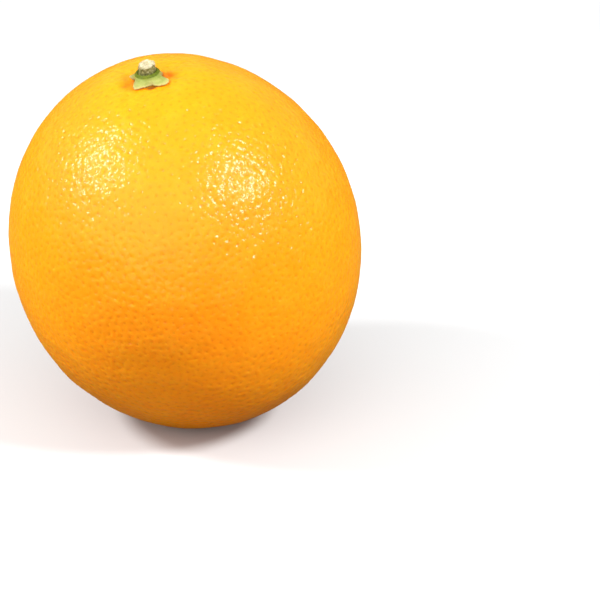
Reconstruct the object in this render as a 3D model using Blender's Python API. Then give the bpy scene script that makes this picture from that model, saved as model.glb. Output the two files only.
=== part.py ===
"""A whole orange with its calyx and a stub of its stalk, resting on a small flat spot.

Metres, +Z up. The origin is on the table, under the middle of the fruit. The stem
end leans towards -X and -Y, as the fruit came to rest. Three objects: the fruit,
which grew as one piece, the star-shaped calyx in the dimple at its stem end, and
the woody stub of the stalk that stands in the ring of the calyx.
"""

import math

import bmesh
import bpy
import numpy as np
from mathutils import Matrix

MM = 0.001

# ---- driving dimensions -------------------------------------------------
EQUATOR_DIAMETER = 78.0 * MM  # across the fruit, square to its long axis
LENGTH = 85.4 * MM  # from end to end, along its long axis
STEM_LEAN = 12.0  # degrees from upright of the line from centre to stem end
STEM_TOWARD = 207.4  # degrees about +Z from +X: the side it leans to
LONG_LEAN = 16.6  # the same for the long axis of the body, which is not
LONG_TOWARD = 192.7  # quite the line through the stem end
REST_HEIGHT = 41.4 * MM  # centre of the fruit above the table: leaves the flat spot

DIMPLE_DEPTH = 0.55 * MM  # the shallow hollow that the calyx lies in
DIMPLE_RADIUS = 6.5 * MM
SHOULDER_RISE = 0.22 * MM  # the low swelling round the hollow
FURROWS = 7  # weak grooves that run out from the hollow
FURROW_DEPTH = 0.16 * MM
SCAR_DEPTH = 0.45 * MM  # where the blossom's style fell off
SCAR_RADIUS = 2.6 * MM

SKIN_GAP = 0.3 * MM  # clearance between pieces that touch
# Each lobe of the calyx: degrees about the stem from local +X, reach from the
# middle, degrees to the notch before it and after it, and how blunt it is. Two
# have dried back almost to the ring.
LOBES = (
    (238.0, 5.60 * MM, 42.0, 46.0, 0.0),
    (315.0, 5.85 * MM, 33.0, 30.0, 1.0),
    (28.0, 3.45 * MM, 30.0, 30.0, 0.6),
    (92.0, 3.80 * MM, 32.0, 32.0, 0.5),
    (158.0, 4.70 * MM, 26.0, 28.0, 0.1),
)
NOTCH_REACH = 2.95 * MM  # to the bottom of most notches between two lobes
SHALLOW_NOTCH = 283.0  # degrees to the one notch that is not so deep
SHALLOW_BY = 1.05 * MM
LOBE_THICK = 0.45 * MM  # at a lobe's end
DISC_THICK = 1.30 * MM  # where the lobes meet the ring
RING_OUTER = 2.60 * MM  # the raised ring that held the stalk
RING_INNER = 2.10 * MM
RING_HEIGHT = 1.95 * MM
CUP_FLOOR = 1.20 * MM  # inside the ring

STUB_DIAMETER = 3.7 * MM
STUB_FOOT = 1.84 * MM  # above the skin at the stem end
STUB_TOP = 4.10 * MM
STUB_SHIFT = 0.34 * MM  # the stub is not quite square to the skin

# ---- mesh resolution ----------------------------------------------------
FRUIT_SEGMENTS = 60
FINE_RINGS = 13  # across the hollow at the stem end
PLAIN_RINGS = 34  # over the rest
CALYX_SEGMENTS = 80
STUB_SEGMENTS = 26

SEMI_LONG = LENGTH / 2
SEMI_SHORT = EQUATOR_DIAMETER / 2


def direction(lean, toward):
    lean, toward = math.radians(lean), math.radians(toward)
    return np.array(
        [
            math.sin(lean) * math.cos(toward),
            math.sin(lean) * math.sin(toward),
            math.cos(lean),
        ]
    )


STEM = direction(STEM_LEAN, STEM_TOWARD)
LONG = direction(LONG_LEAN, LONG_TOWARD)
BLOSSOM = -LONG  # the blossom end lies at the other end of the long axis
# Two directions square to the stem axis: SIDE is +X leaned over with the fruit.
SIDE = np.array([1.0, 0.0, 0.0]) - STEM[0] * STEM
SIDE /= np.linalg.norm(SIDE)
ACROSS = np.cross(STEM, SIDE)

# Low swellings of the body: direction, waves over the radius, phase, height.
SWELLINGS = (
    ((0.82, 0.31, 0.48), 3.1, 0.4, 0.16 * MM),
    ((-0.35, 0.88, 0.33), 3.9, 2.1, 0.13 * MM),
    ((0.15, -0.52, 0.84), 4.6, 1.2, 0.10 * MM),
    ((-0.77, -0.41, 0.49), 5.7, 3.6, 0.08 * MM),
    ((0.55, -0.79, -0.27), 7.1, 5.0, 0.06 * MM),
)


def surface(d):
    """Distance from the centre to the skin along each unit vector of d."""
    along = d @ LONG
    r = 1 / np.sqrt(
        (along / SEMI_LONG) ** 2 + (1 - along**2).clip(0) / SEMI_SHORT**2
    )
    for way, waves, phase, height in SWELLINGS:
        way = np.array(way) / np.linalg.norm(way)
        r = r + height * np.cos(waves * (d @ way) + phase)
    out = SEMI_LONG * np.arccos((d @ STEM).clip(-1, 1))  # from the stem end
    turn = np.arctan2(d @ ACROSS, d @ SIDE)
    r = r - DIMPLE_DEPTH * np.exp(-((out / DIMPLE_RADIUS) ** 2))
    r = r + SHOULDER_RISE * np.exp(-(((out - 13 * MM) / (5.5 * MM)) ** 2))
    groove = 0.5 + 0.5 * np.cos(
        FURROWS * turn + 0.9 * np.sin(2 * turn + 0.7) + 0.5 * np.sin(3 * turn)
    )
    fade = np.exp(-(((out - 8.5 * MM) / (4.5 * MM)) ** 2))
    r = r - FURROW_DEPTH * groove**2 * fade
    out = SEMI_LONG * np.arccos((d @ BLOSSOM).clip(-1, 1))  # from the blossom end
    r = r - SCAR_DEPTH * np.exp(-((out / SCAR_RADIUS) ** 2))
    return r


def aimed(theta, turn):
    """Unit vectors at an angle theta from the stem end, turned about it."""
    flat = np.cos(turn)[..., None] * SIDE + np.sin(turn)[..., None] * ACROSS
    return np.sin(theta)[..., None] * flat + np.cos(theta)[..., None] * STEM


def meridian(theta, turn):
    """Unit vectors on lines that run from the stem end to straight down, so that
    the first rows circle the stem and the last ones lie level."""
    upright = np.stack(
        [np.sin(theta) * np.cos(turn), np.sin(theta) * np.sin(turn), np.cos(theta)],
        -1,
    )
    toward = math.radians(STEM_TOWARD)
    hinge = np.array([-math.sin(toward), math.cos(toward), 0.0])
    lean = (math.radians(STEM_LEAN) * (1 + np.cos(theta)) / 2)[..., None]
    swung = np.cross(hinge, upright)
    level = (upright @ hinge)[..., None] * hinge
    return upright * np.cos(lean) + swung * np.sin(lean) + level * (1 - np.cos(lean))


def material(name, colour, roughness):
    made = bpy.data.materials.new(name)
    made.use_nodes = True
    shader = made.node_tree.nodes["Principled BSDF"]
    shader.inputs["Base Color"].default_value = (*colour, 1)
    shader.inputs["Roughness"].default_value = roughness
    shader.inputs["Metallic"].default_value = 0.0
    made.diffuse_color = (*colour, 1)
    return made


def finish(bm, name, made_of, parent, sharp=40.0):
    bmesh.ops.recalc_face_normals(bm, faces=bm.faces)
    mesh = bpy.data.meshes.new(name)
    bm.to_mesh(mesh)
    bm.free()
    mesh.shade_smooth()
    mesh.set_sharp_from_angle(angle=math.radians(sharp))
    mesh.materials.append(made_of)
    thing = bpy.data.objects.new(name, mesh)
    bpy.context.scene.collection.objects.link(thing)
    thing.parent = parent
    return thing


def stack(bm, rings, first=None, last=None):
    """Joins rings of points, all of one length, and closes each end on a point."""
    rows = [[bm.verts.new(p) for p in ring] for ring in rings]
    count = len(rows[0])
    for low, high in zip(rows, rows[1:]):
        for i in range(count):
            j = (i + 1) % count
            bm.faces.new((low[i], low[j], high[j], high[i]))
    for row, tip in ((rows[0], first), (rows[-1], last)):
        if tip is None:
            bm.faces.new(row)
            continue
        tip = bm.verts.new(tip)
        for i in range(count):
            bm.faces.new((row[i], row[(i + 1) % count], tip))


def build_fruit(made_of, parent):
    turn = np.arange(FRUIT_SEGMENTS) * 2 * math.pi / FRUIT_SEGMENTS
    # The flat spot starts where each line from the stem end comes down to the
    # table: its angle is found by halving.
    above = np.full(FRUIT_SEGMENTS, math.pi - 0.6)
    below = np.full(FRUIT_SEGMENTS, math.pi)
    for _ in range(40):
        half = (above + below) / 2
        d = meridian(half, turn)
        under = -d[:, 2] * surface(d) > REST_HEIGHT
        below = np.where(under, half, below)
        above = np.where(under, above, half)
    fine = np.linspace(0.0, 16 * MM / SEMI_LONG, FINE_RINGS + 1)[1:]
    rings = []
    for theta in fine:
        d = meridian(np.full(FRUIT_SEGMENTS, theta), turn)
        rings.append(d * surface(d)[:, None])
    for share in np.linspace(0.0, 1.0, PLAIN_RINGS + 1)[1:]:
        d = meridian(fine[-1] + share * (below - fine[-1]), turn)
        rings.append(d * surface(d)[:, None])
    rings[-1][:, 2] = -REST_HEIGHT
    bm = bmesh.new()
    stack(bm, rings, STEM * surface(STEM[None])[0], None)
    return finish(bm, "orange_fruit", made_of, parent, sharp=25.0)


def in_stem_frame(points):
    """Points about the fruit's centre, as seen from the stem end's own frame."""
    return np.stack(
        [points @ SIDE, points @ ACROSS, points @ STEM - surface(STEM[None])[0]], -1
    )


def over_skin(out, turn, height):
    """Points a height above the skin, out from the stem end, in its frame."""
    d = aimed(out / SEMI_LONG, turn)
    return in_stem_frame(d * (surface(d) + height)[:, None])


def lobe_reach(turn):
    """How far the calyx reaches from its middle: lobes, pointed or blunt."""
    turn = np.degrees(turn)
    past = (turn - SHALLOW_NOTCH + 180) % 360 - 180
    low = NOTCH_REACH + SHALLOW_BY * np.exp(-((past / 26.0) ** 2))
    reach = low.copy()
    for at, end, before, after, blunt in LOBES:
        off = (turn - at + 180) % 360 - 180
        off = np.abs(off) / np.where(off < 0, before, after)
        off = np.sqrt(off**2 + 0.0025).clip(0, 1)
        pointed = (1 - off) ** 1.35
        broad = (1 - off**3) ** 1.3
        share = pointed + blunt * (broad - pointed)
        reach = np.maximum(reach, low + (end - low) * share)
    return reach


def calyx_height(share, out):
    """Thickness at a share of the way to the edge: lobes, ring and cup."""
    leaf = LOBE_THICK + (DISC_THICK - LOBE_THICK) * (1 - share).clip(0, 1)
    ring = (RING_HEIGHT - leaf) / (1 + np.exp((out - RING_OUTER) / (0.07 * MM)))
    inner = 1 / (1 + np.exp((out - RING_INNER) / (0.035 * MM)))
    return (leaf + ring) * (1 - inner) + CUP_FLOOR * inner


def build_calyx(made_of, parent):
    turn = np.arange(CALYX_SEGMENTS) * 2 * math.pi / CALYX_SEGMENTS
    reach = lobe_reach(turn)
    foot = 2.74 * MM  # where the lobes start, just outside the ring
    ring = (0.9 * MM, 1.88 * MM, 2.05 * MM, 2.18 * MM, 2.40 * MM, 2.56 * MM, foot)
    rings = []
    for out in ring:  # the top, from the cup outwards over the ring
        out = np.full(CALYX_SEGMENTS, out)
        share = (out - foot) / (reach - foot)
        rings.append(over_skin(out, turn, SKIN_GAP + calyx_height(share, out)))
    for share in (0.34, 0.68, 0.94):  # out along the lobes
        out = foot + share * (reach - foot)
        rings.append(
            over_skin(out, turn, SKIN_GAP + calyx_height(share + 0 * out, out))
        )
    # The lobes' rounded edge, and back under them to the middle.
    rings.append(over_skin(reach, turn, SKIN_GAP + 0.5 * LOBE_THICK + 0 * reach))
    for share in (0.94, 0.66, 0.33):
        rings.append(over_skin(reach * share, turn, SKIN_GAP + 0 * reach))
    points = np.array([STEM, STEM])
    high = surface(points) + SKIN_GAP + np.array([CUP_FLOOR, 0.0])
    middle = in_stem_frame(points * high[:, None])
    bm = bmesh.new()
    stack(bm, rings, middle[0], middle[1])
    return finish(bm, "calyx", made_of, parent)


def build_stub(made_of, parent):
    turn = np.arange(STUB_SEGMENTS) * 2 * math.pi / STUB_SEGMENTS
    half = STUB_DIAMETER / 2
    profile = (  # share of the half width, share of the height
        (0.86, 0.0),
        (0.92, 0.04),
        (0.93, 0.20),
        (1.00, 0.38),
        (0.98, 0.58),
        (1.01, 0.78),
        (0.98, 0.91),
        (0.84, 1.0),
        (0.45, 1.03),
    )
    rings = []
    for wide, share in profile:
        ridge = 1 + 0.035 * share * np.cos(5 * turn + 3 * share)
        ridge = ridge + 0.025 * share * np.cos(3 * turn - 1.0)
        x = half * wide * ridge * np.cos(turn) + STUB_SHIFT * share
        y = half * wide * ridge * np.sin(turn)
        z = STUB_FOOT + (STUB_TOP - STUB_FOOT) * share + 0 * turn
        # The shears left the top a little slanted and uneven.
        z = z + share**4 * (0.16 * MM * np.cos(turn - 2.4) * wide)
        z = z + share**4 * (0.07 * MM * np.cos(3 * turn + 0.8) * wide)
        rings.append(np.stack([x, y, z], -1))
    bm = bmesh.new()
    stack(bm, rings, None, (STUB_SHIFT, 0.0, STUB_TOP + 0.06 * MM))
    return finish(bm, "stem_stub", made_of, parent)


def main():
    for old in list(bpy.data.objects):
        bpy.data.objects.remove(old, do_unlink=True)
    bpy.context.scene.unit_settings.system = "METRIC"
    bpy.context.scene.unit_settings.scale_length = 1.0

    peel = material("peel", (0.90, 0.36, 0.02), 0.42)
    green = material("calyx_green", (0.42, 0.50, 0.13), 0.60)
    wood = material("stub_wood", (0.52, 0.45, 0.28), 0.80)

    centre = bpy.data.objects.new("fruit_centre", None)
    stem_end = bpy.data.objects.new("stem_end", None)
    for empty in (centre, stem_end):
        empty.empty_display_size = 0.01
        bpy.context.scene.collection.objects.link(empty)
    stem_end.parent = centre

    fruit = build_fruit(peel, centre)
    build_calyx(green, stem_end)
    build_stub(wood, stem_end)

    # The stem end's frame: +Z out along the stem, +X leaned over from the table's.
    pole = STEM * surface(STEM[None])[0]
    frame = Matrix((SIDE, ACROSS, STEM)).transposed().to_4x4()
    stem_end.matrix_local = Matrix.Translation(pole) @ frame

    # The middle of the fruit's outline goes over the origin.
    points = np.array([v.co[:] for v in fruit.data.vertices])
    middle = (points.min(0) + points.max(0)) / 2
    centre.location = (-middle[0], -middle[1], REST_HEIGHT)
    bpy.context.view_layer.update()


main()
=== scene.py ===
import math

import bpy
import numpy as np
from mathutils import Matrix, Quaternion, Vector


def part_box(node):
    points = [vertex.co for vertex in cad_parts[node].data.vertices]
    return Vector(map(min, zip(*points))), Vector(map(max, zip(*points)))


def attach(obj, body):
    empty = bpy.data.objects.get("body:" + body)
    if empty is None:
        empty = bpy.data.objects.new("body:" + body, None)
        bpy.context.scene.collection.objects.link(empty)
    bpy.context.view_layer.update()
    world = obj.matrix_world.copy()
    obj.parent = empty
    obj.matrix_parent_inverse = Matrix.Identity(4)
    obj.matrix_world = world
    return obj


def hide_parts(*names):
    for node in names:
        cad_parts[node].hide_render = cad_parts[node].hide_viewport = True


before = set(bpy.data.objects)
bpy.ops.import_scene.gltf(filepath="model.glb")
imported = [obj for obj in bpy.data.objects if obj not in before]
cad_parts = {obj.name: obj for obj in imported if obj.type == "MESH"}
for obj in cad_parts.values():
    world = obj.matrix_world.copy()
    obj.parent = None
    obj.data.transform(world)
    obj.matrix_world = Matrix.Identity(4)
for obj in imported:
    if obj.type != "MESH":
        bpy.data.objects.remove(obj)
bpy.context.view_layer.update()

MM = 0.001

# ---------------------------------------------------------------- the fruit's form
# The same design dimensions as the CAD solids have, apart from the calyx's two front
# lobes and the stub's top, which are drawn a little more finely.
EQUATOR_DIAMETER = 78.0 * MM
LENGTH = 85.4 * MM
STEM_LEAN, STEM_TOWARD = 12.0, 207.4
LONG_LEAN, LONG_TOWARD = 16.6, 192.7
REST_HEIGHT = 41.4 * MM
DIMPLE_DEPTH, DIMPLE_RADIUS = 0.55 * MM, 6.5 * MM
SHOULDER_RISE = 0.22 * MM
FURROWS, FURROW_DEPTH = 7, 0.16 * MM
SCAR_DEPTH, SCAR_RADIUS = 0.45 * MM, 2.6 * MM
SEMI_LONG, SEMI_SHORT = LENGTH / 2, EQUATOR_DIAMETER / 2

LOBES = (
    (238.0, 5.60 * MM, 42.0, 46.0, 0.0),
    (318.0, 5.85 * MM, 31.0, 29.0, 0.9),
    (28.0, 3.45 * MM, 30.0, 30.0, 0.6),
    (92.0, 3.80 * MM, 32.0, 32.0, 0.5),
    (158.0, 4.70 * MM, 26.0, 28.0, 0.1),
)
NOTCH_REACH = 2.95 * MM
SHALLOW_NOTCH, SHALLOW_BY = 283.0, 0.75 * MM
LOBE_THICK, DISC_THICK = 0.45 * MM, 1.30 * MM
RING_OUTER, RING_INNER = 2.60 * MM, 2.10 * MM
RING_HEIGHT, CUP_FLOOR = 1.95 * MM, 1.20 * MM
SKIN_GAP = 0.3 * MM
STUB_DIAMETER = 3.7 * MM
STUB_FOOT, STUB_TOP = 1.84 * MM, 3.80 * MM
STUB_SHIFT = 0.34 * MM


def direction(lean, toward):
    lean, toward = math.radians(lean), math.radians(toward)
    return np.array(
        [
            math.sin(lean) * math.cos(toward),
            math.sin(lean) * math.sin(toward),
            math.cos(lean),
        ]
    )


STEM = direction(STEM_LEAN, STEM_TOWARD)
LONG = direction(LONG_LEAN, LONG_TOWARD)
BLOSSOM = -LONG
SIDE = np.array([1.0, 0.0, 0.0]) - STEM[0] * STEM
SIDE /= np.linalg.norm(SIDE)
ACROSS = np.cross(STEM, SIDE)
SWELLINGS = (
    ((0.82, 0.31, 0.48), 3.1, 0.4, 0.16 * MM),
    ((-0.35, 0.88, 0.33), 3.9, 2.1, 0.13 * MM),
    ((0.15, -0.52, 0.84), 4.6, 1.2, 0.10 * MM),
    ((-0.77, -0.41, 0.49), 5.7, 3.6, 0.08 * MM),
    ((0.55, -0.79, -0.27), 7.1, 5.0, 0.06 * MM),
)


def from_stem(d):
    return SEMI_LONG * np.arccos((d @ STEM).clip(-1, 1))


def from_blossom(d):
    return SEMI_LONG * np.arccos((d @ BLOSSOM).clip(-1, 1))


def surface(d):
    """Distance from the centre to the smooth skin along each unit vector of d."""
    along = d @ LONG
    r = 1 / np.sqrt(
        (along / SEMI_LONG) ** 2 + (1 - along**2).clip(0) / SEMI_SHORT**2
    )
    for way, waves, phase, height in SWELLINGS:
        way = np.array(way) / np.linalg.norm(way)
        r = r + height * np.cos(waves * (d @ way) + phase)
    out = from_stem(d)
    turn = np.arctan2(d @ ACROSS, d @ SIDE)
    r = r - DIMPLE_DEPTH * np.exp(-((out / DIMPLE_RADIUS) ** 2))
    r = r + SHOULDER_RISE * np.exp(-(((out - 13 * MM) / (5.5 * MM)) ** 2))
    groove = 0.5 + 0.5 * np.cos(
        FURROWS * turn + 0.9 * np.sin(2 * turn + 0.7) + 0.5 * np.sin(3 * turn)
    )
    fade = np.exp(-(((out - 8.5 * MM) / (4.5 * MM)) ** 2))
    r = r - FURROW_DEPTH * groove**2 * fade
    r = r - SCAR_DEPTH * np.exp(-((from_blossom(d) / SCAR_RADIUS) ** 2))
    return r


def aimed(theta, turn):
    flat = np.cos(turn)[..., None] * SIDE + np.sin(turn)[..., None] * ACROSS
    return np.sin(theta)[..., None] * flat + np.cos(theta)[..., None] * STEM


def unit(v):
    return v / np.linalg.norm(v, axis=-1, keepdims=True)


def fruit_centre():
    """Where the CAD fruit's centre is, from its box and the form's own extents."""
    lo, hi = (np.array(c[:]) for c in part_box("orange_fruit"))
    k = np.arange(60000) + 0.5
    z = 1 - 2 * k / 60000
    a = k * math.pi * (3 - math.sqrt(5))
    s = np.sqrt(1 - z * z)
    d = np.stack([s * np.cos(a), s * np.sin(a), z], -1)
    p = d * surface(d)[:, None]
    middle = (p.min(0) + p.max(0)) / 2
    at = (lo + hi) / 2 - middle
    return np.array([at[0], at[1], lo[2] + REST_HEIGHT])


CENTRE = fruit_centre()


def waves(points, seed, count, shortest, longest):
    """A smooth random height of unit spread at each point, of the wavelengths given."""
    rng = np.random.default_rng(seed)
    way = unit(rng.normal(size=(count, 3)))
    length = np.exp(rng.uniform(math.log(shortest), math.log(longest), count))
    phase = rng.uniform(0, 2 * math.pi, count)
    total = np.zeros(len(points))
    for k in range(count):
        total += np.cos(points @ (way[k] * 2 * math.pi / length[k]) + phase[k])
    return total * math.sqrt(2 / count)


# ---------------------------------------------------------------- the peel's mesh
GRID = 99  # 20 * GRID**2 triangles


def geodesic(n):
    """An even net of triangles over a unit ball."""
    g = (1 + math.sqrt(5)) / 2
    corner = unit(
        np.array(
            [
                (-1, g, 0), (1, g, 0), (-1, -g, 0), (1, -g, 0),
                (0, -1, g), (0, 1, g), (0, -1, -g), (0, 1, -g),
                (g, 0, -1), (g, 0, 1), (-g, 0, -1), (-g, 0, 1),
            ],
            float,
        )
    )
    sides = (
        (0, 11, 5), (0, 5, 1), (0, 1, 7), (0, 7, 10), (0, 10, 11),
        (1, 5, 9), (5, 11, 4), (11, 10, 2), (10, 7, 6), (7, 1, 8),
        (3, 9, 4), (3, 4, 2), (3, 2, 6), (3, 6, 8), (3, 8, 9),
        (4, 9, 5), (2, 4, 11), (6, 2, 10), (8, 6, 7), (9, 8, 1),
    )
    i, j = np.meshgrid(np.arange(n + 1), np.arange(n + 1), indexing="ij")
    keep = i + j <= n
    i, j = i[keep], j[keep]
    number = -np.ones((n + 1, n + 1), int)
    number[i, j] = np.arange(len(i))
    up = (i + j) < n
    down = (i + j) < n - 1
    tris = np.concatenate(
        [
            np.stack([number[i[up], j[up]], number[i[up] + 1, j[up]], number[i[up], j[up] + 1]], -1),
            np.stack([number[i[down] + 1, j[down]], number[i[down] + 1, j[down] + 1], number[i[down], j[down] + 1]], -1),
        ]
    )
    points, faces = [], []
    for k, (a, b, c) in enumerate(sides):
        u, v = i / n, j / n
        p = (1 - u - v)[:, None] * corner[a] + u[:, None] * corner[b] + v[:, None] * corner[c]
        points.append(unit(p))
        faces.append(tris + k * len(i))
    points, faces = np.concatenate(points), np.concatenate(faces)
    _, first, index = np.unique(
        np.round(points * 1e5).astype(np.int64), axis=0, return_index=True, return_inverse=True
    )
    return points[first], index.reshape(-1)[faces]


def neighbours(count, faces):
    """Each point's six neighbours; a point with five has its last one twice."""
    ends = np.concatenate([faces[:, [0, 1]], faces[:, [1, 2]], faces[:, [2, 0]]])
    ends = ends[np.argsort(ends[:, 0], kind="stable")]
    start = np.searchsorted(ends[:, 0], np.arange(count))
    valence = np.diff(np.append(start, len(ends)))
    slot = np.minimum(np.arange(6)[None, :], valence[:, None] - 1)
    return ends[start[:, None] + slot, 1]


class Near:
    """Finds points near others by sorting them into cubes."""

    def __init__(self, points, size):
        self.points, self.size = points, size
        cell = np.floor(points / size).astype(np.int64)
        self.low = cell.min(0) - 1
        self.span = cell.max(0) - self.low + 2
        code = self.code(cell)
        self.order = np.argsort(code, kind="stable")
        self.codes = code[self.order]
        self.most = int(np.unique(code, return_counts=True)[1].max())

    def code(self, cell):
        c = cell - self.low
        ok = ((c >= 0) & (c < self.span)).all(-1)
        code = (c[..., 0] * self.span[1] + c[..., 1]) * self.span[2] + c[..., 2]
        return np.where(ok, code, -1)

    def pairs(self, query, within):
        """(index of query, index of point, distance) of every pair closer than within."""
        cell = np.floor(query / self.size).astype(np.int64)
        found = []
        for x in (-1, 0, 1):
            for y in (-1, 0, 1):
                for z in (-1, 0, 1):
                    code = self.code(cell + np.array([x, y, z]))
                    at = np.searchsorted(self.codes, code)
                    for k in range(self.most):
                        hit = np.minimum(at + k, len(self.codes) - 1)
                        good = (self.codes[hit] == code) & (at + k < len(self.codes))
                        q = np.nonzero(good)[0]
                        p = self.order[hit[q]]
                        gap = np.linalg.norm(query[q] - self.points[p], axis=1)
                        close = gap < within
                        found.append((q[close], p[close], gap[close]))
        return [np.concatenate(part) for part in zip(*found)]


def spread(count, seed, rounds, others=None):
    """Points spread evenly but in no pattern over a unit ball, clear of the others."""
    rng = np.random.default_rng(seed)
    points = unit(rng.normal(size=(count, 3)))
    fixed = np.zeros((0, 3)) if others is None else others
    reach = 1.25 * math.sqrt(4 * math.pi / (count + len(fixed)) / 0.866)
    for _ in range(rounds):
        every = np.concatenate([points, fixed])
        q, p, gap = Near(every, reach).pairs(points, reach)
        other = q != p
        q, p, gap = q[other], p[other], gap[other].clip(1e-9)
        push = (points[q] - every[p]) / gap[:, None] * ((1 - gap / reach) ** 1.5)[:, None]
        move = np.stack([np.bincount(q, push[:, k], count) for k in range(3)], -1)
        points = unit(points + 0.42 * reach * move)
    return points


def oil_pits():
    """The pits over the oil glands: where, how deep and how wide each one is."""
    rng = np.random.default_rng(41)
    spacing = 2.02 * MM / SEMI_SHORT
    main = spread(int(4 * math.pi / (0.866 * spacing**2)), 7, 12)
    minor = spread(int(len(main) * 1.05), 8, 14, main)
    at = np.concatenate([main, minor])
    count = len(at)
    big = np.arange(count) < len(main)
    large = np.where(big, rng.uniform(0.70, 1.0, count), rng.uniform(0.0, 0.35, count))
    depth = (0.035 + 0.095 * large) * rng.uniform(0.85, 1.15, count) * MM
    wide = (0.200 + 0.075 * large) * rng.uniform(0.92, 1.1, count) * MM
    return at, depth, wide, large


def peel_mesh():
    d, faces = geodesic(GRID)
    nbr = neighbours(len(d), faces)
    at, depth, wide, large = oil_pits()

    # The net is drawn to the pits: a point in the middle of each pit, and a ring
    # of six round it.
    step = math.sqrt(4 * math.pi / len(d) / 0.866)
    q, p, gap = Near(d, 1.6 * step).pairs(at, 1.6 * step)
    best = np.lexsort((gap, q))
    q, p = q[best], p[best]
    first = np.unique(q, return_index=True)[1]
    pit, owner = q[first], p[first]
    _, once = np.unique(owner, return_index=True)
    pit, owner = pit[once], owner[once]
    pinned = np.zeros(len(d), bool)
    pinned[owner] = True
    d = d.copy()
    d[owner] = at[pit]
    for _ in range(8):
        mean = unit(d[nbr].mean(1))
        d = np.where(pinned[:, None], d, unit(0.35 * d + 0.65 * mean))

    rng = np.random.default_rng(3)
    c = at[pit]
    east = unit(np.cross(c, np.where(np.abs(c[:, 2:]) < 0.9, [[0, 0, 1.0]], [[1.0, 0, 0]])))
    north = np.cross(c, east)
    ring = nbr[owner]
    rel = d[ring] - c[:, None]
    angle = np.arctan2((rel * north[:, None]).sum(-1), (rel * east[:, None]).sum(-1))
    order = np.argsort(angle, axis=1)
    ring = np.take_along_axis(ring, order, 1)
    angle = np.take_along_axis(angle, order, 1)
    even = np.arange(6) * math.pi / 3
    offset = np.angle(np.exp(1j * (angle - even)).mean(1))
    around = offset[:, None] + even + rng.normal(0, 0.05, (len(c), 6))
    radius = (1.12 * wide[pit] / SEMI_SHORT)[:, None] * rng.uniform(0.93, 1.07, (len(c), 6))
    goal = c[:, None] + radius[..., None] * (
        np.cos(around)[..., None] * east[:, None] + np.sin(around)[..., None] * north[:, None]
    )
    whole = np.array([len(set(row)) == 6 for row in ring.tolist()])
    total, times = np.zeros_like(d), np.zeros(len(d))
    for k in range(6):
        np.add.at(total, ring[whole, k], goal[whole, k])
        np.add.at(times, ring[whole, k], 1)
    held = (times > 0) & ~pinned
    start = d.copy()
    d[held] = unit(total[held] / times[held][:, None])
    soft = times > 1
    for _ in range(10):
        mean = unit(d[nbr].mean(1))
        free = ~pinned & ~(held & ~soft)
        d = np.where(free[:, None], unit(0.35 * d + 0.65 * mean), d)
    # Where the net has folded over itself, it goes back a little.
    for _ in range(30):
        a, b, e = d[faces[:, 0]], d[faces[:, 1]], d[faces[:, 2]]
        area = (np.cross(b - a, e - a) * a).sum(1)
        bad = np.unique(faces[area < 0.12 * step**2])
        bad = bad[~pinned[bad]]
        if not len(bad):
            break
        mean = unit(d[nbr[bad]].mean(1))
        d[bad] = unit(0.4 * d[bad] + 0.5 * mean + 0.1 * start[bad])
    return d, faces, (at, depth, wide, large)


def pit_field(d, pits):
    """Depth below the smooth skin from all the pits, and how pit-like each point is."""
    at, depth, wide, large = pits
    reach = 1.25 * MM / SEMI_SHORT
    q, p, gap = Near(at, reach).pairs(d, reach)
    gap = gap * SEMI_SHORT
    bowl = np.exp(-0.5 * (gap / wide[p]) ** 2)
    saucer = np.exp(-0.5 * (gap / (2.3 * wide[p])) ** 2)
    drop = np.bincount(q, depth[p] * (bowl + 0.12 * saucer), len(d))
    mark = np.bincount(q, (0.25 + 0.75 * large[p]) * np.exp(-0.5 * (gap / (0.95 * wide[p])) ** 2), len(d))
    return drop, mark.clip(0, 1)


def new_mesh(name, points, faces):
    mesh = bpy.data.meshes.new(name)
    faces = [f for f in faces if len(f)] if isinstance(faces, list) else faces
    if isinstance(faces, list):
        mesh.from_pydata(points.tolist(), [], faces)
    else:
        mesh.vertices.add(len(points))
        mesh.vertices.foreach_set("co", points.astype(np.float32).ravel())
        mesh.loops.add(faces.size)
        mesh.loops.foreach_set("vertex_index", faces.astype(np.int32).ravel())
        mesh.polygons.add(len(faces))
        mesh.polygons.foreach_set("loop_start", np.arange(0, faces.size, faces.shape[1], dtype=np.int32))
        mesh.update(calc_edges=True)
    mesh.shade_smooth()
    mesh.validate()
    made = bpy.data.objects.new(name, mesh)
    bpy.context.scene.collection.objects.link(made)
    return made


def attribute(obj, name, values):
    layer = obj.data.attributes.new(name, "FLOAT", "POINT")
    layer.data.foreach_set("value", values.astype(np.float32))


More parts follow.
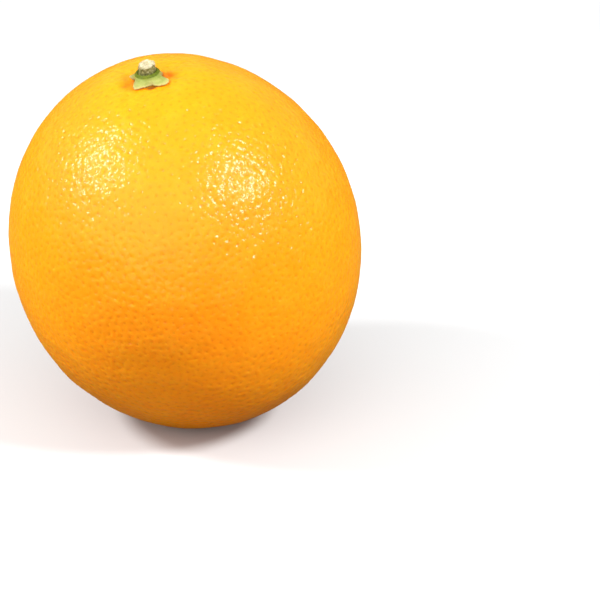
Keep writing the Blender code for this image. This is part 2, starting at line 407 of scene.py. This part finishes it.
def make_peel():
    d, faces, pits = peel_mesh()
    drop, mark = pit_field(d, pits)
    flat = d * SEMI_SHORT
    lumps = 0.011 * MM * waves(flat, 11, 90, 1.8 * MM, 3.2 * MM)
    rolls = 0.035 * MM * waves(flat, 12, 50, 6 * MM, 13 * MM)
    fine = 0.003 * MM * waves(flat, 13, 60, 1.0 * MM, 1.5 * MM)
    stem, blossom = from_stem(d), from_blossom(d)
    # Under the calyx and on the scar the skin is smoother.
    calm = 1 - 0.85 * np.exp(-((stem / (3.2 * MM)) ** 4))
    calm = calm * (1 - 0.7 * np.exp(-((blossom / (1.3 * MM)) ** 4)))
    # Fine creases run out from the calyx and from the blossom scar.
    turn = np.arctan2(d @ ACROSS, d @ SIDE)
    crease = np.cos(19 * turn + 2.1 * np.sin(3 * turn) + 60 * stem / SEMI_LONG * 0.2)
    crease = -0.035 * MM * (0.5 + 0.5 * crease) ** 3 * np.exp(-(((stem - 6.5 * MM) / (2.2 * MM)) ** 2))
    bx = unit(np.cross(BLOSSOM, [0, 1.0, 0]))
    by = np.cross(BLOSSOM, bx)
    spin = np.arctan2(d @ by, d @ bx)
    star = -0.05 * MM * (0.5 + 0.5 * np.cos(9 * spin + np.sin(2 * spin))) ** 2 * np.exp(-(((blossom - 2.2 * MM) / (1.0 * MM)) ** 2))
    nub = 0.22 * MM * np.exp(-((blossom / (0.75 * MM)) ** 2))
    height = (lumps + rolls + fine - drop) * calm + crease + star + nub
    p = d * (surface(d) + height + 0.045 * MM)[:, None] + CENTRE
    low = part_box("orange_fruit")[0][2]
    p[:, 2] = np.maximum(p[:, 2], low)
    peel = new_mesh("orange_peel", p, faces)
    attribute(peel, "pit", mark * calm)
    attribute(peel, "stem_mm", stem / MM)
    attribute(peel, "blossom_mm", blossom / MM)
    attribute(peel, "rise", (lumps + rolls) / (0.036 * MM))

    def patch(out, at, wide, tall):
        """A soft patch beside the calyx: tall is its size along the radius."""
        past = np.radians((np.degrees(turn) - at + 180) % 360 - 180)
        return np.exp(-((stem * past / wide) ** 2) - ((stem - out) / tall) ** 2)

    # Two redder patches of painted shade where the hollow is deepest, and one at the notch that is partly
    # scorched skin and partly painted shadow under the lifted lobe edge.
    hollow_side_shade = patch(4.9 * MM, 4, 1.6 * MM, 1.2 * MM) + patch(5.2 * MM, 198, 1.8 * MM, 1.3 * MM)
    attribute(peel, "hollow_side_shade", hollow_side_shade.clip(0, 1))
    attribute(peel, "scorch_and_notch_shadow", patch(4.4 * MM, 281, 1.5 * MM, 0.9 * MM))
    return peel


# ---------------------------------------------------------------- calyx and stub
def lobe_reach(turn):
    turn = np.degrees(turn)
    past = (turn - SHALLOW_NOTCH + 180) % 360 - 180
    low = NOTCH_REACH + SHALLOW_BY * np.exp(-((past / 26.0) ** 2))
    reach = low.copy()
    mid = np.zeros_like(low)
    for at, end, before, after, blunt in LOBES:
        off = (turn - at + 180) % 360 - 180
        off = np.abs(off) / np.where(off < 0, before, after)
        off = np.sqrt(off**2 + 0.0025).clip(0, 1)
        pointed = (1 - off) ** 1.35
        broad = (1 - off**3) ** 1.3
        share = pointed + blunt * (broad - pointed)
        reach = np.maximum(reach, low + (end - low) * share)
        mid = np.maximum(mid, 1 - off)
    return reach, mid


def grid_faces(rows, count):
    """Squares of a stack of closed rings, and a fan on a last point at each end."""
    i = np.arange(rows - 1)[:, None] * count
    j = np.arange(count)[None, :]
    k = (j + 1) % count
    quads = np.stack([i + j, i + k, i + count + k, i + count + j], -1).reshape(-1, 4)
    faces = quads.tolist()
    top, end = rows * count, rows * count + 1
    faces += [[(a + 1) % count, a, top] for a in range(count)]
    base = (rows - 1) * count
    faces += [[base + a, base + (a + 1) % count, end] for a in range(count)]
    return faces


def make_calyx():
    count = 300
    turn = np.arange(count) * 2 * math.pi / count
    reach, mid = lobe_reach(turn)
    rng = np.random.default_rng(23)
    ragged = sum(
        rng.normal(0, 1) * np.cos(k * turn + rng.uniform(0, 6.28)) / k**0.6
        for k in range(9, 60)
    )
    reach = reach + 0.035 * MM * ragged
    foot = 2.72 * MM
    rows, heights, kinds = [], [], []
    inner = np.concatenate([np.linspace(0.4, 1.8, 5), np.linspace(1.86, 2.72, 20)]) * MM
    tops = [("ring", x) for x in inner] + [("leaf", s) for s in np.linspace(0.03, 1.0, 34)]
    for kind, value in tops:
        if kind == "ring":
            out = np.full(count, value)
            share = np.zeros(count)
        else:
            share = np.full(count, value)
            out = foot + value * (reach - foot)
        leaf = LOBE_THICK * 0.75 + (DISC_THICK - LOBE_THICK * 0.75) * (1 - share) ** 1.15
        rim = (RING_HEIGHT - leaf) / (1 + np.exp((out - RING_OUTER) / (0.135 * MM)))
        inside = 1 / (1 + np.exp((out - 1.97 * MM) / (0.035 * MM)))
        h = (leaf + rim) * (1 - inside) + CUP_FLOOR * inside
        # The ring's top is worn and uneven, and ribbed down its side.
        on_ring = np.exp(-(((out - 2.4 * MM) / (0.33 * MM)) ** 2))
        h = h + on_ring * MM * (
            0.075 * np.cos(5 * turn + 0.6) + 0.045 * np.cos(11 * turn + 2) + 0.03 * np.cos(23 * turn)
        )
        # Midrib and side veins stand up a little, and the blade dips between them.
        length = (reach - foot).clip(0.01 * MM)
        blade = np.sin(np.pi * share.clip(0, 1)) ** 0.7 * (length / (3 * MM)).clip(0, 1)
        vein = 0.5 + 0.5 * np.cos(38 * turn + 5 * share + 1.2 * np.sin(5 * turn))
        h = h + blade * (0.11 * MM * mid**3 + 0.045 * MM * vein**2 - 0.05 * MM)
        # The ends lift off the skin a little and curl.
        tip = share**3 * (length / (3 * MM)).clip(0, 1)
        lift = tip * MM * (0.22 + 0.16 * np.cos(3 * turn + 1.0) + 0.10 * np.cos(7 * turn))
        # Out at the edge the top bends over to meet the underside.
        edge = np.sqrt((1 - ((share - 0.93) / 0.07).clip(0, 1) ** 2).clip(0, 1))
        full = h * (0.38 + 0.62 * edge)
        rows.append((out, full + lift, share, np.full(count, 1.0 if kind == "ring" else 0.0)))
    lift_end = rows[-1][1] * 0 + (1.0 * (reach - foot).clip(0) / (3 * MM)).clip(0, 1) * MM * (
        0.22 + 0.16 * np.cos(3 * turn + 1.0) + 0.10 * np.cos(7 * turn)
    )
    for share in (0.985, 0.93, 0.8, 0.62, 0.4, 0.2):
        out = reach * share
        under = (share**4) * lift_end * 0.95 + (0.06 * MM if share > 0.97 else 0.0)
        rows.append((out, under, np.full(count, share), np.zeros(count)))
    points, at, ring = [], [], []
    for out, h, share, kind in rows:
        d = aimed(out / SEMI_LONG, turn)
        points.append(d * (surface(d) + h + 0.02 * MM)[:, None])
        at.append(share)
        ring.append(kind * np.exp(-(((out - 2.45 * MM) / (0.42 * MM)) ** 2)))
    stem = STEM[None] * surface(STEM[None])[:, None]
    points += [stem + STEM * CUP_FLOOR, stem]
    points = np.concatenate(points) + CENTRE
    tail = np.zeros(2)
    # Its rings run out over the top and back underneath, so its faces turn the other way.
    faces = [face[::-1] for face in grid_faces(len(rows), count)]
    calyx = new_mesh("calyx_star", points, faces)
    total = len(rows)
    attribute(calyx, "share", np.concatenate([*at, tail]))
    attribute(calyx, "ring", np.concatenate([*ring, tail]))
    attribute(calyx, "mid", np.concatenate([np.tile(mid, total), tail]))
    attribute(calyx, "turn", np.concatenate([np.tile(turn, total), tail]))
    long_lobe = np.tile(((reach - foot) / (3 * MM)).clip(0, 1), total)
    attribute(calyx, "long_lobe", np.concatenate([long_lobe, tail]))
    return calyx


def make_stub():
    count = 180
    turn = np.arange(count) * 2 * math.pi / count
    half = STUB_DIAMETER / 2
    key = np.array([0.0, 0.04, 0.20, 0.38, 0.58, 0.78, 0.91, 0.97, 1.0])
    wide = np.array([1.00, 1.05, 1.00, 1.01, 0.98, 0.99, 0.96, 0.92, 0.84])
    sides = np.linspace(0, 1, 46)
    tops = np.linspace(0.98, 0.05, 30)
    rows, top_mask, level = [], [], []

    def sample(share, inward, on_top):
        base = np.interp(share, key, wide)
        ridge = 1 + 0.035 * share * np.cos(5 * turn + 3 * share)
        ridge = ridge + 0.025 * share * np.cos(3 * turn - 1.0)
        r = half * base * ridge * inward
        x = r * np.cos(turn) + STUB_SHIFT * share
        y = r * np.sin(turn)
        z = STUB_FOOT - 0.45 * MM + (STUB_TOP - STUB_FOOT + 0.45 * MM) * share + 0 * turn
        z = z + share**4 * (0.16 * MM * np.cos(turn - 2.4) * inward)
        z = z + share**4 * (0.07 * MM * np.cos(3 * turn + 0.8) * inward)
        return np.stack([x, y, z], -1)

    for share in sides:
        rows.append(sample(share, 1.0, False))
        top_mask.append(np.full(count, max(0.0, (share - 0.42) / 0.58) ** 1.3))
        level.append(np.full(count, share))
    for inward in tops:
        rows.append(sample(1.0, inward, True))
        top_mask.append(np.ones(count))
        level.append(np.full(count, 1.0))
    last = [np.array([[STUB_SHIFT, 0, STUB_TOP]]), np.array([[0, 0, STUB_FOOT - 0.45 * MM]])]
    local = np.concatenate(rows)
    n_side = len(sides) * count
    rough = waves(local * np.array([1, 1, 0.45]), 31, 70, 0.28 * MM, 0.9 * MM)
    grain = waves(local * np.array([1, 1, 0.18]), 32, 60, 0.16 * MM, 0.4 * MM)
    out = local.copy()
    radial = unit(np.stack([local[:, 0] - STUB_SHIFT * 0.6, local[:, 1], 0 * local[:, 0]], -1) + 1e-9)
    amount = (0.055 * rough + 0.03 * grain) * MM
    out[:n_side] += radial[:n_side] * amount[:n_side, None]
    # The cut face: a broken rim, a sunken soft middle and torn fibres.
    face = local[n_side:]
    rad = np.hypot(face[:, 0] - STUB_SHIFT, face[:, 1]) / half
    torn = waves(face * np.array([1, 1, 1]), 33, 70, 0.25 * MM, 0.7 * MM)
    chips = waves(face, 34, 40, 0.9 * MM, 2.2 * MM)
    dish = -0.10 * MM * np.exp(-((rad / 0.42) ** 2)) + 0.05 * MM * np.exp(-(((rad - 0.72) / 0.16) ** 2))
    fade = (1 - ((rad - 0.86) / 0.14).clip(0, 1) ** 2) if len(rad) else 1
    shoulder = -0.16 * MM * ((rad - 0.45) / 0.55).clip(0, 1) ** 2
    out[n_side:, 2] += (0.060 * MM * torn + 0.120 * MM * chips) * (0.35 + 0.65 * fade) + dish + shoulder
    edge_rows = slice(n_side - 5 * count, n_side)
    out[edge_rows, 2] += 0.120 * MM * 0.35 * np.tile(chips[:count], 5) * np.repeat(np.linspace(0.2, 1, 5), count)
    out[n_side - 6 * count : n_side, 2] -= 0.11 * MM * np.repeat(np.linspace(0.1, 1, 6), count)
    out = np.concatenate([out, *last])
    # From the stem end's frame to the world.
    pole = STEM * surface(STEM[None])[0] + CENTRE
    world = pole + out[:, :1] * SIDE + out[:, 1:2] * ACROSS + out[:, 2:] * STEM
    total = len(rows)
    # grid_faces fans its first end on point total*count, its last on the next one;
    # the first ring here is the foot.
    world[-2], world[-1] = world[-1].copy(), world[-2].copy()
    faces = grid_faces(total, count)
    stub = new_mesh("stalk_stub", world, faces)
    tail = np.array([0.0, 1.0])
    attribute(stub, "cut", np.concatenate([*top_mask, tail]))
    attribute(stub, "level", np.concatenate([*level, tail]))
    rad_all = np.hypot(local[:, 0] - STUB_SHIFT * 0.9, local[:, 1]) / half
    attribute(stub, "radial", np.concatenate([rad_all, [1.0, 0.0]]))
    attribute(stub, "rough", np.concatenate([rough, [0.0, 0.0]]))
    return stub


# ---------------------------------------------------------------- materials
class Nodes:
    """Short calls for building a material's node tree."""

    def __init__(self, name):
        self.material = bpy.data.materials.new(name)
        self.material.use_nodes = True
        self.tree = self.material.node_tree
        self.shader = self.tree.nodes["Principled BSDF"]

    def add(self, kind, **settings):
        node = self.tree.nodes.new(kind)
        for key, value in settings.items():
            setattr(node, key, value)
        return node

    def link(self, a, b):
        self.tree.links.new(a, b)

    def feed(self, socket, value):
        if hasattr(value, "is_linked") or hasattr(value, "links"):
            self.link(value, socket)
        else:
            socket.default_value = value

    def attr(self, name):
        return self.add("ShaderNodeAttribute", attribute_name=name).outputs["Fac"]

    def coords(self, scale=(1, 1, 1)):
        at = self.add("ShaderNodeTexCoord").outputs["Object"]
        mapping = self.add("ShaderNodeMapping")
        self.link(at, mapping.inputs["Vector"])
        mapping.inputs["Scale"].default_value = scale
        return mapping.outputs["Vector"]

    def noise(self, vector, scale, detail=3.0, rough=0.5, distortion=0.0):
        node = self.add("ShaderNodeTexNoise")
        self.link(vector, node.inputs["Vector"])
        node.inputs["Scale"].default_value = scale
        node.inputs["Detail"].default_value = detail
        node.inputs["Roughness"].default_value = rough
        node.inputs["Distortion"].default_value = distortion
        return node.outputs["Fac"]

    def voronoi(self, vector, scale, feature="F1", randomness=1.0):
        node = self.add("ShaderNodeTexVoronoi", feature=feature)
        self.link(vector, node.inputs["Vector"])
        node.inputs["Scale"].default_value = scale
        node.inputs["Randomness"].default_value = randomness
        return node.outputs["Distance"]

    def math(self, operation, a, b=0.0, clamp=False):
        node = self.add("ShaderNodeMath", operation=operation, use_clamp=clamp)
        self.feed(node.inputs[0], a)
        self.feed(node.inputs[1], b)
        return node.outputs[0]

    def span(self, value, low, high, to_low=0.0, to_high=1.0, smooth=True):
        node = self.add(
            "ShaderNodeMapRange",
            interpolation_type="SMOOTHSTEP" if smooth else "LINEAR",
            clamp=True,
        )
        self.feed(node.inputs["Value"], value)
        for key, number in (
            ("From Min", low), ("From Max", high), ("To Min", to_low), ("To Max", to_high),
        ):
            node.inputs[key].default_value = number
        return node.outputs["Result"]

    def mix(self, share, a, b, blend="MIX"):
        node = self.add("ShaderNodeMix", data_type="RGBA", blend_type=blend)
        self.feed(node.inputs["Factor"], share)
        for socket, value in ((node.inputs[6], a), (node.inputs[7], b)):
            if isinstance(value, tuple):
                socket.default_value = (*value, 1) if len(value) == 3 else value
            else:
                self.link(value, socket)
        return node.outputs[2]

    def bump(self, height, distance, strength=1.0, normal=None):
        node = self.add("ShaderNodeBump")
        self.link(height, node.inputs["Height"])
        node.inputs["Distance"].default_value = distance
        node.inputs["Strength"].default_value = strength
        if normal is not None:
            self.link(normal, node.inputs["Normal"])
        return node.outputs["Normal"]


def peel_material():
    n = Nodes("orange_peel")
    at = n.coords()
    pit = n.attr("pit")
    stem = n.attr("stem_mm")
    blossom = n.attr("blossom_mm")
    rise = n.attr("rise")

    # Skin: broad drifts between a yellower and a redder orange, then fine mottle.
    drift = n.span(n.noise(at, 42.0, 4.0, 0.55, 0.4), 0.36, 0.66)
    colour = n.mix(drift, (0.945, 0.326, 0.006), (0.940, 0.303, 0.005))
    mottle = n.span(n.noise(at, 310.0, 3.0, 0.6), 0.40, 0.72)
    colour = n.mix(n.math("MULTIPLY", mottle, 0.35), colour, (0.960, 0.350, 0.009))
    # The oil glands show as deeper dots in the pits: partly their own colour, partly painted shade in the pits.
    gland_dots_and_pit_shade = n.math("MULTIPLY", n.span(pit, 0.15, 0.95), 0.36)
    colour = n.mix(gland_dots_and_pit_shade, colour, (0.600, 0.175, 0.002))
    # High places are a little paler.
    colour = n.mix(n.span(rise, 0.4, 2.2, 0.0, 0.22), colour, (0.970, 0.375, 0.018))
    # Painted shade: the hollow round the calyx is painted a deeper orange, more so on two sides.
    hollow_painted_shade = n.span(stem, 3.8, 8.0, 1.0, 0.0)
    patchy = n.span(n.noise(at, 190.0, 2.0, 0.5), 0.38, 0.62, 0.25, 0.6)
    colour = n.mix(n.math("MULTIPLY", n.math("MULTIPLY", hollow_painted_shade, patchy), 0.50), colour, (0.890, 0.190, 0.002))
    colour = n.mix(n.attr("hollow_side_shade"), colour, (0.900, 0.165, 0.001))
    # Brown skin under the calyx and at the notch between the lobes: partly a dry scorched scar, partly painted
    # shadow under the calyx's lifted edge.
    scar_and_calyx_shade = n.math("MAXIMUM", n.span(stem, 2.9, 4.2, 0.7, 0.0), n.span(n.attr("scorch_and_notch_shadow"), 0.25, 0.8, 0.0, 0.92))
    colour = n.mix(scar_and_calyx_shade, colour, (0.150, 0.045, 0.006))
    # The blossom scar is corky.
    scar = n.span(n.math("ADD", blossom, n.math("MULTIPLY", n.noise(at, 900.0, 3.0), 1.2)), 1.3, 2.3, 1.0, 0.0)
    colour = n.mix(scar, colour, (0.220, 0.105, 0.030))
    colour = n.mix(n.span(blossom, 2.0, 7.0, 0.35, 0.0), colour, (0.880, 0.230, 0.006))
    # A few faint rub marks.
    marks = n.span(n.noise(n.coords((1.0, 1.0, 0.6)), 120.0, 6.0, 0.72, 1.3), 0.70, 0.78, 0.0, 0.25)
    colour = n.mix(marks, colour, (0.820, 0.330, 0.060))
    n.link(colour, n.shader.inputs["Base Color"])

    sheen = n.span(n.noise(at, 520.0, 4.0, 0.6), 0.3, 0.7, 0.34, 0.46)
    sheen = n.math("ADD", sheen, n.math("MULTIPLY", scar, 0.35))
    n.link(n.math("ADD", sheen, n.math("MULTIPLY", gland_dots_and_pit_shade, 0.2), clamp=True), n.shader.inputs["Roughness"])

    grainy = n.noise(at, 2400.0, 2.0, 0.5)
    gland = n.span(pit, 0.0, 1.0, 1.0, 0.0)
    normal = n.bump(grainy, 0.000012, 0.6)
    normal = n.bump(gland, 0.00005, 0.8, normal)
    n.link(normal, n.shader.inputs["Normal"])
    # The wax follows the pits' rims closely: small pits, low mounds, then grain.
    walls = n.span(n.voronoi(at, 520.0), 0.04, 0.46)
    mound = n.voronoi(at, 860.0)
    mound = n.math("MULTIPLY", mound, n.math("MULTIPLY", mound, -1.0))
    wax = n.bump(grainy, 0.000012, 0.6)
    wax = n.bump(mound, 0.00016, 1.0, wax)
    wax = n.bump(walls, 0.00015, 1.0, wax)
    n.link(n.bump(gland, 0.00007, 1.0, wax), n.shader.inputs["Coat Normal"])
    s = n.shader.inputs
    s["IOR"].default_value = 1.46
    s["Specular IOR Level"].default_value = 0.06
    s["Coat Weight"].default_value = 0.46
    s["Coat Roughness"].default_value = 0.215
    s["Coat IOR"].default_value = 1.45
    s["Subsurface Weight"].default_value = 0.80
    s["Subsurface Radius"].default_value = (1.0, 0.50, 0.12)
    s["Subsurface Scale"].default_value = 0.0016
    return n.material


def calyx_material():
    n = Nodes("calyx_skin")
    at = n.coords()
    share, ring, mid, long_lobe = (n.attr(k) for k in ("share", "ring", "mid", "long_lobe"))
    blade = n.mix(n.span(n.noise(at, 700.0, 4.0, 0.6), 0.35, 0.68), (0.330, 0.338, 0.095), (0.245, 0.268, 0.058))
    # Paler, yellower ends and edges; a greener foot by the ring.
    blade = n.mix(n.span(share, 0.05, 0.45, 0.60, 0.0), blade, (0.185, 0.235, 0.030))
    blade = n.mix(n.span(share, 0.62, 0.98, 0.0, 0.75), blade, (0.480, 0.430, 0.150))
    veins = n.span(n.noise(n.coords((1.0, 1.0, 1.0)), 1900.0, 3.0, 0.65), 0.52, 0.70, 0.0, 0.40)
    blade = n.mix(veins, blade, (0.440, 0.450, 0.150))
    # The dried edge.
    crisp = n.math("MULTIPLY", n.span(share, 0.88, 1.0), n.span(n.noise(at, 1100.0, 3.0, 0.6), 0.42, 0.66))
    blade = n.mix(crisp, blade, (0.330, 0.185, 0.060))
    short = n.span(long_lobe, 0.15, 0.6, 0.75, 0.0)
    blade = n.mix(n.math("MULTIPLY", short, n.span(share, 0.35, 1.0)), blade, (0.250, 0.170, 0.060))
    dark = n.mix(n.span(n.noise(at, 1300.0, 4.0, 0.65), 0.38, 0.68), (0.085, 0.118, 0.004), (0.150, 0.180, 0.014))
    colour = n.mix(n.span(ring, 0.25, 0.75), blade, dark)
    n.link(colour, n.shader.inputs["Base Color"])
    rough = n.span(n.noise(at, 1500.0, 3.0, 0.6), 0.3, 0.7, 0.48, 0.70)
    n.link(rough, n.shader.inputs["Roughness"])
    normal = n.bump(n.noise(at, 2600.0, 5.0, 0.62), 0.00012, 0.75)
    n.link(normal, n.shader.inputs["Normal"])
    s = n.shader.inputs
    s["Specular IOR Level"].default_value = 0.14
    s["Subsurface Weight"].default_value = 0.15
    s["Subsurface Radius"].default_value = (0.5, 0.8, 0.15)
    s["Subsurface Scale"].default_value = 0.0008
    return n.material


def stub_material():
    n = Nodes("stub_wood")
    at = n.coords()
    cut, level, radial, rough_at = (n.attr(k) for k in ("cut", "level", "radial", "rough"))
    bark = n.mix(n.span(n.noise(n.coords((1.0, 1.0, 0.35)), 1700.0, 5.0, 0.68), 0.36, 0.66), (0.150, 0.145, 0.042), (0.300, 0.285, 0.110))
    bark = n.mix(n.span(n.noise(at, 3100.0, 2.0, 0.5), 0.58, 0.70, 0.0, 0.8), bark, (0.480, 0.440, 0.270))
    # Painted shade: the bark is darker in its grooves.
    bark = n.mix(n.span(rough_at, -1.6, -0.4, 0.50, 0.0), bark, (0.050, 0.045, 0.014))
    bark = n.mix(n.span(level, 0.0, 0.45, 0.55, 0.0), bark, (0.110, 0.130, 0.018))
    # The cut face: pale wood with darker pores, a ring under the bark and a soft pith.
    wood = n.mix(n.span(n.noise(at, 2300.0, 4.0, 0.6), 0.36, 0.68), (0.600, 0.545, 0.370), (0.380, 0.330, 0.190))
    wood = n.mix(n.span(n.noise(at, 5200.0, 2.0, 0.5), 0.60, 0.72, 0.0, 0.7), wood, (0.230, 0.180, 0.080))
    wood = n.mix(n.span(radial, 0.12, 0.30, 0.50, 0.0), wood, (0.380, 0.320, 0.170))
    wood = n.mix(n.span(radial, 0.82, 0.95, 0.0, 0.45), wood, (0.300, 0.280, 0.120))
    edge = n.span(n.math("ADD", cut, n.math("MULTIPLY", n.math("SUBTRACT", n.noise(at, 900.0, 4.0, 0.7), 0.5), 2.6)), 0.42, 0.80)
    colour = n.mix(edge, bark, wood)
    n.link(colour, n.shader.inputs["Base Color"])
    rough = n.span(n.noise(at, 1500.0, 3.0, 0.6), 0.3, 0.7, 0.68, 0.92)
    n.link(rough, n.shader.inputs["Roughness"])
    normal = n.bump(n.noise(n.coords((1.0, 1.0, 0.5)), 3800.0, 5.0, 0.65), 0.00016, 0.9)
    n.link(normal, n.shader.inputs["Normal"])
    n.shader.inputs["Specular IOR Level"].default_value = 0.12
    return n.material


# ---------------------------------------------------------------- pieces
peel = make_peel()
peel.data.materials.append(peel_material())
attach(peel, "root")
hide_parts("orange_fruit")

calyx = make_calyx()
calyx.data.materials.append(calyx_material())
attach(calyx, "root")
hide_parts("calyx")

stub = make_stub()
stub.data.materials.append(stub_material())
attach(stub, "root")
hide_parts("stem_stub")


# ---------------------------------------------------------------- stage and light
def make_floor():
    count, rings = 128, (0.02, 0.05, 0.1, 0.2, 0.4, 0.7)
    points = [(0.0, 0.0, 0.0)]
    for r in rings:
        points += [
            (r * math.cos(2 * math.pi * k / count), r * math.sin(2 * math.pi * k / count), 0.0)
            for k in range(count)
        ]
    faces = [[0, 1 + k, 1 + (k + 1) % count] for k in range(count)]
    for i in range(len(rings) - 1):
        a, b = 1 + i * count, 1 + (i + 1) * count
        faces += [
            [a + k, b + k, b + (k + 1) % count, a + (k + 1) % count] for k in range(count)
        ]
    floor = new_mesh("floor", np.array(points), faces)
    floor.location.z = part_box("orange_fruit")[0][2] - 0.00002
    n = Nodes("floor_white")
    # It sends only a little light back up, as a small table top does.
    seen = n.add("ShaderNodeLightPath").outputs["Is Camera Ray"]
    n.link(n.mix(seen, (0.19, 0.115, 0.06), (0.690, 0.702, 0.706)), n.shader.inputs["Base Color"])
    n.shader.inputs["Roughness"].default_value = 0.9
    n.shader.inputs["Specular IOR Level"].default_value = 0.1
    at = n.add("ShaderNodeTexCoord").outputs["Object"]
    length = n.add("ShaderNodeVectorMath", operation="LENGTH")
    n.link(at, length.inputs[0])
    n.link(n.span(length.outputs["Value"], 0.10, 0.30, 1.0, 0.0), n.shader.inputs["Alpha"])
    floor.data.materials.append(n.material)
    return floor


make_floor()


def soft_box(name, toward, distance, size, watts, colour=(1.0, 1.0, 1.0)):
    light = bpy.data.lights.new(name, "AREA")
    light.shape = "DISK"
    light.size = size
    light.energy = watts
    light.color = colour
    obj = bpy.data.objects.new(name, light)
    bpy.context.scene.collection.objects.link(obj)
    toward = Vector(toward).normalized()
    obj.location = Vector(CENTRE) + toward * distance
    obj.rotation_euler = (-toward).to_track_quat("-Z", "Y").to_euler()
    return obj


LEFT_KEY = (-0.762, -0.092, 0.641)
RIGHT_KEY = (0.652, -0.337, 0.680)
soft_box("left_box", LEFT_KEY, 0.9, 0.24, 7.8)
soft_box("right_box", RIGHT_KEY, 0.9, 0.24, 8.7)


def studio():
    """A white room whose soft light comes mostly from above, in front and both sides."""
    world = bpy.data.worlds.new("white_room")
    bpy.context.scene.world = world
    world.use_nodes = True
    tree = world.node_tree
    to = tree.links.new
    way = tree.nodes.new("ShaderNodeTexCoord").outputs["Generated"]

    def calc(operation, a, b):
        node = tree.nodes.new("ShaderNodeMath")
        node.operation = operation
        for socket, value in zip(node.inputs, (a, b)):
            if isinstance(value, float):
                socket.default_value = value
            else:
                to(value, socket)
        return node.outputs[0]

    def glow(toward, power, strength):
        dot = tree.nodes.new("ShaderNodeVectorMath")
        dot.operation = "DOT_PRODUCT"
        to(way, dot.inputs[0])
        dot.inputs[1].default_value = Vector(toward).normalized()
        facing = calc("MAXIMUM", dot.outputs["Value"], 0.0)
        return calc("MULTIPLY", calc("POWER", facing, power), strength)

    total = calc("ADD", glow((0.0, -0.6, 0.8), 5.0, 0.82), 0.29)
    for part in (
        glow((-0.35, -1.0, 0.08), 4.0, 1.58),
        glow((-1.0, -0.2, 0.3), 4.0, 0.80),
        glow((1.0, -0.2, 0.3), 4.0, 0.24),
    ):
        total = calc("ADD", total, part)
    above = tree.nodes.new("ShaderNodeMapRange")
    above.interpolation_type = "SMOOTHSTEP"
    height = tree.nodes.new("ShaderNodeSeparateXYZ")
    to(way, height.inputs[0])
    to(height.outputs["Z"], above.inputs["Value"])
    above.inputs["From Min"].default_value = -0.10
    above.inputs["From Max"].default_value = 0.02
    above.inputs["To Min"].default_value = 0.06
    light = tree.nodes["Background"]
    to(calc("MULTIPLY", total, above.outputs["Result"]), light.inputs["Strength"])
    light.inputs["Color"].default_value = (1, 1, 1, 1)
    white = tree.nodes.new("ShaderNodeBackground")
    white.inputs["Color"].default_value = (1, 1, 1, 1)
    white.inputs["Strength"].default_value = 1.0
    pick = tree.nodes.new("ShaderNodeMixShader")
    to(tree.nodes.new("ShaderNodeLightPath").outputs["Is Camera Ray"], pick.inputs["Fac"])
    to(light.outputs[0], pick.inputs[1])
    to(white.outputs[0], pick.inputs[2])
    to(pick.outputs[0], tree.nodes["World Output"].inputs["Surface"])


studio()

view = bpy.context.scene.view_settings
view.view_transform = "Standard"
view.look = "None"
view.exposure = 0.0
view.gamma = 1.0

# ---------------------------------------------------------------- camera
ELEVATION = math.radians(26.5)
DISTANCE = 1.0
PIXEL = 0.2225 * MM  # of the 600 px frame, at the fruit's centre
camera = bpy.data.cameras.new("camera")
camera.sensor_width = 36.0
camera.lens = 36.0 * DISTANCE / (600 * PIXEL)
camera.clip_start, camera.clip_end = 0.05, 20.0
eye = bpy.data.objects.new("camera", camera)
bpy.context.scene.collection.objects.link(eye)
bpy.context.scene.camera = eye
back_way = Vector((0.0, -math.cos(ELEVATION), math.sin(ELEVATION)))
right = Vector((1.0, 0.0, 0.0))
up = Vector((0.0, math.sin(ELEVATION), math.cos(ELEVATION)))
# The fruit stands left of the frame's middle and above it.
aim = Vector(CENTRE) + right * ((300 - 184.4) * PIXEL) - up * ((300 - 242.3) * PIXEL)
eye.location = aim + back_way * DISTANCE
# It leans a little, by 0.6 degrees.
level = (-back_way).to_track_quat("-Z", "Y")
eye.rotation_euler = (level @ Quaternion((0, 0, 1), math.radians(0.6))).to_euler()

bpy.context.view_layer.update()
